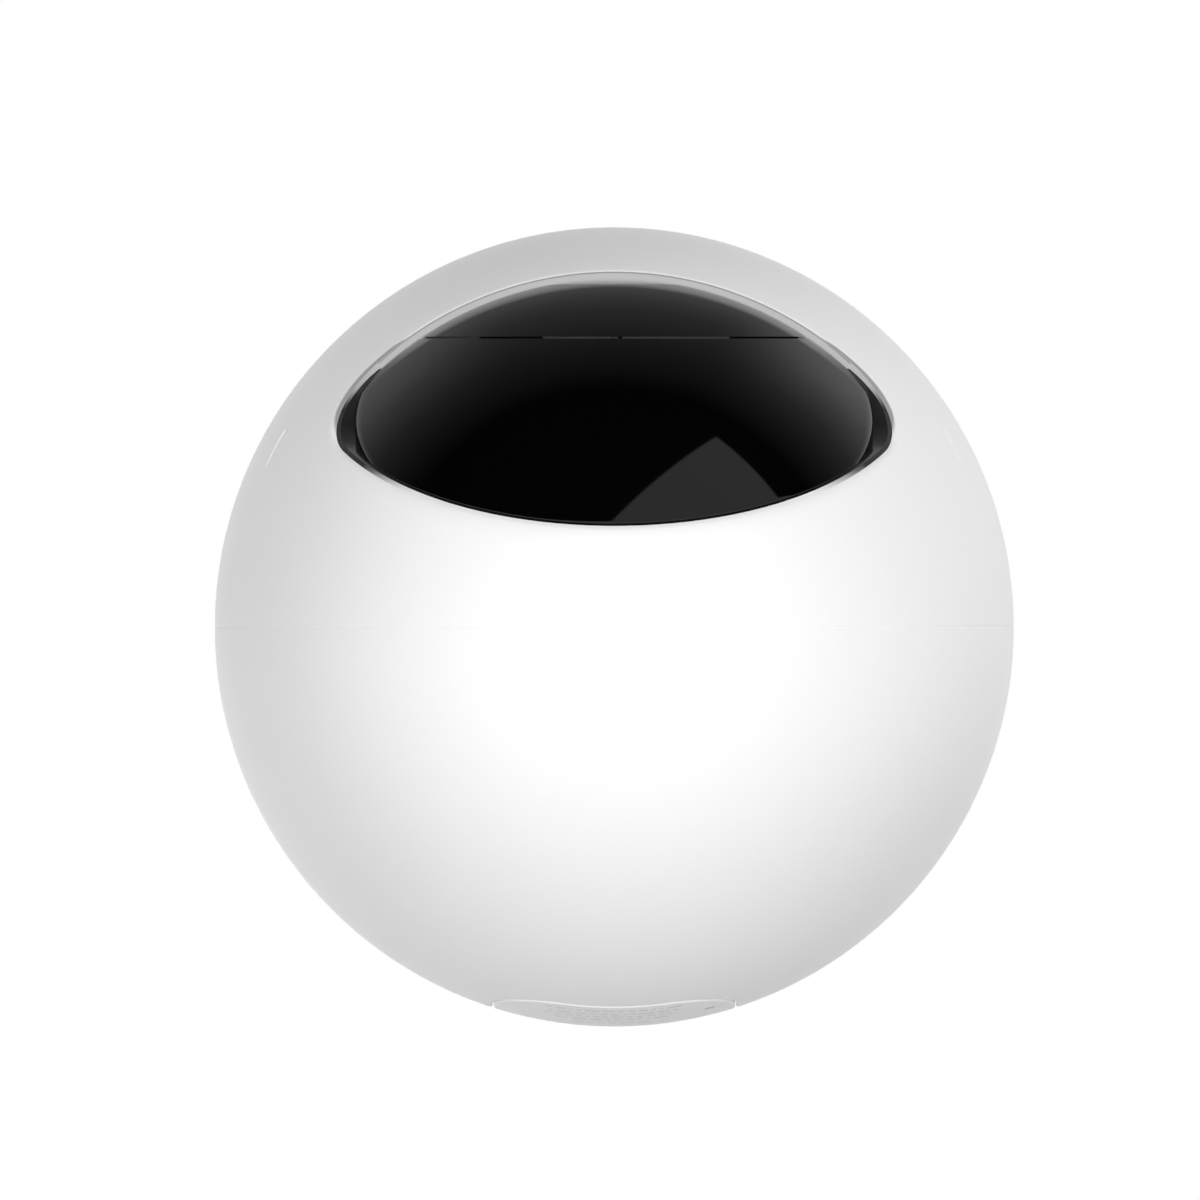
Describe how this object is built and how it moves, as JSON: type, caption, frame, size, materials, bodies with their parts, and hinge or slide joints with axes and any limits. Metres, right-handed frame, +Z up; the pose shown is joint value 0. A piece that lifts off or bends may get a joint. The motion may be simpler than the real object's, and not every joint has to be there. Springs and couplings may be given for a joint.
{
  "type": "security camera",
  "caption": "Ball-shaped indoor security camera with a notched smoked window, an internal pan and tilt lens head, a bottom hatch and a rear threaded socket.",
  "frame": {"origin": "centre of the ball", "axes": "+Z up, window facing -Y, power inlet facing +Y, +X to the right seen from the front"},
  "size_m": [0.1, 0.1, 0.1],
  "materials": {
    "shell_white": "satin moulded polycarbonate",
    "smoked_window": "polished, nearly opaque smoke tint",
    "black_rubber": "matte",
    "gloss_black": "polished",
    "clear_pipe": "smoky clear",
    "green_board": "solder mask",
    "chip_black": "moulded epoxy",
    "status_emitter": "clear",
    "mesh_black": "fine woven",
    "well_white": "moulded",
    "card_black": "moulded",
    "steel": "plated",
    "button_grey": "moulded",
    "brass": "turned",
    "speaker_black": "moulded",
    "cone_paper": "pressed paper",
    "frame_grey": "glass-filled nylon",
    "heatsink_aluminium": "extruded",
    "aerial_film": "copper on amber film",
    "gear_white": "acetal",
    "head_black": "fine texture",
    "lens_metal": "black anodised",
    "lens_glass": "coated",
    "infrared_lens": "dark clear epoxy"
  },
  "bodies": {
    "casing": {"upper_shell": "shell_white", "lower_shell": "shell_white", "visor_window": "smoked_window", "sensor_window": "smoked_window", "visor_bezel": "gloss_black", "status_light_pipe": "clear_pipe", "status_board": "green_board", "status_led": "status_emitter", "side_microphones": "black_rubber", "vent_meshes": "mesh_black", "service_well": "well_white", "card_socket": "steel", "card_board": "green_board", "reset_switch": "chip_black", "threaded_insert": "brass", "usb_socket": "steel", "inlet_board": "green_board", "speaker_basket": "speaker_black", "speaker_cone": "cone_paper", "speaker_magnet": "steel", "chassis": "frame_grey", "chassis_screws": "steel", "main_board": "green_board", "main_board_screws": "steel", "processor": "chip_black", "heatsink": "heatsink_aluminium", "wifi_module": "steel", "board_chips": "chip_black", "antenna": "aerial_film", "pan_motor": "steel", "pan_motor_screws": "steel", "pan_bush": "gear_white"},
    "hatch": {"hatch_cover": "shell_white"},
    "card": {"memory_card": "card_black"},
    "button": {"reset_button": "button_grey"},
    "pan_drive": {"pan_pinion": "gear_white"},
    "turntable": {"turntable": "frame_grey", "pan_gear": "gear_white", "pan_retainer": "steel", "yoke": "frame_grey", "yoke_screws": "steel", "tilt_motor": "steel", "tilt_bushes": "gear_white"},
    "tilt_drive": {"tilt_pinion": "gear_white"},
    "head": {"tilt_gear": "gear_white", "tilt_pins": "steel", "head_front_shell": "head_black", "head_rear_shell": "head_black", "head_screws": "steel", "lens_barrel": "lens_metal", "lens_glass": "lens_glass", "lens_shroud": "black_rubber", "lens_holder": "head_black", "image_board": "green_board", "image_sensor": "chip_black", "filter_actuator": "head_black", "ir_board": "green_board", "ir_leds": "infrared_lens"},
    "filter": {"filter_frame": "head_black", "filter_glasses": "lens_glass"}
  },
  "joints": [
    {"name": "pan", "type": "hinge", "parent": "casing", "child": "turntable", "pos_m": [0, 0, 0], "axis": [0, 0, 1], "range_deg": [-40, 40]},
    {"name": "pan_pinion_spin", "type": "hinge", "parent": "casing", "child": "pan_drive", "pos_m": [-0.02091, 0.0056, 0], "axis": [0, 0, 1], "range_deg": [-200.5, 200.5]},
    {"name": "tilt", "type": "hinge", "parent": "turntable", "child": "head", "pos_m": [0, -0.013, 0.0115], "axis": [-1, 0, 0], "range_deg": [-13, 13]},
    {"name": "tilt_pinion_spin", "type": "hinge", "parent": "turntable", "child": "tilt_drive", "pos_m": [0, 0.00171, 0.00615], "axis": [-1, 0, 0], "range_deg": [-43.5, 43.5]},
    {"name": "filter_shift", "type": "slide", "parent": "head", "child": "filter", "axis": [1, 0, 0], "range_m": [0, 0.0064]},
    {"name": "reset_press", "type": "slide", "parent": "casing", "child": "button", "axis": [0, 0, 1], "range_m": [0, 0.0004], "stiffness_N_per_m": 300, "springref_m": -0.001},
    {"name": "card_eject", "type": "slide", "parent": "casing", "child": "card", "axis": [0, 0, -1], "range_m": [-0.0006, 0.0035]},
    {"name": "hatch_off", "type": "slide", "parent": "casing", "child": "hatch", "axis": [0, 0, -1], "range_m": [0, 0.02]}
  ],
  "couplings": [
    {"joint": "pan_pinion_spin", "follows": "pan", "ratio": -5},
    {"joint": "tilt_pinion_spin", "follows": "tilt", "ratio": -3.3333}
  ]
}
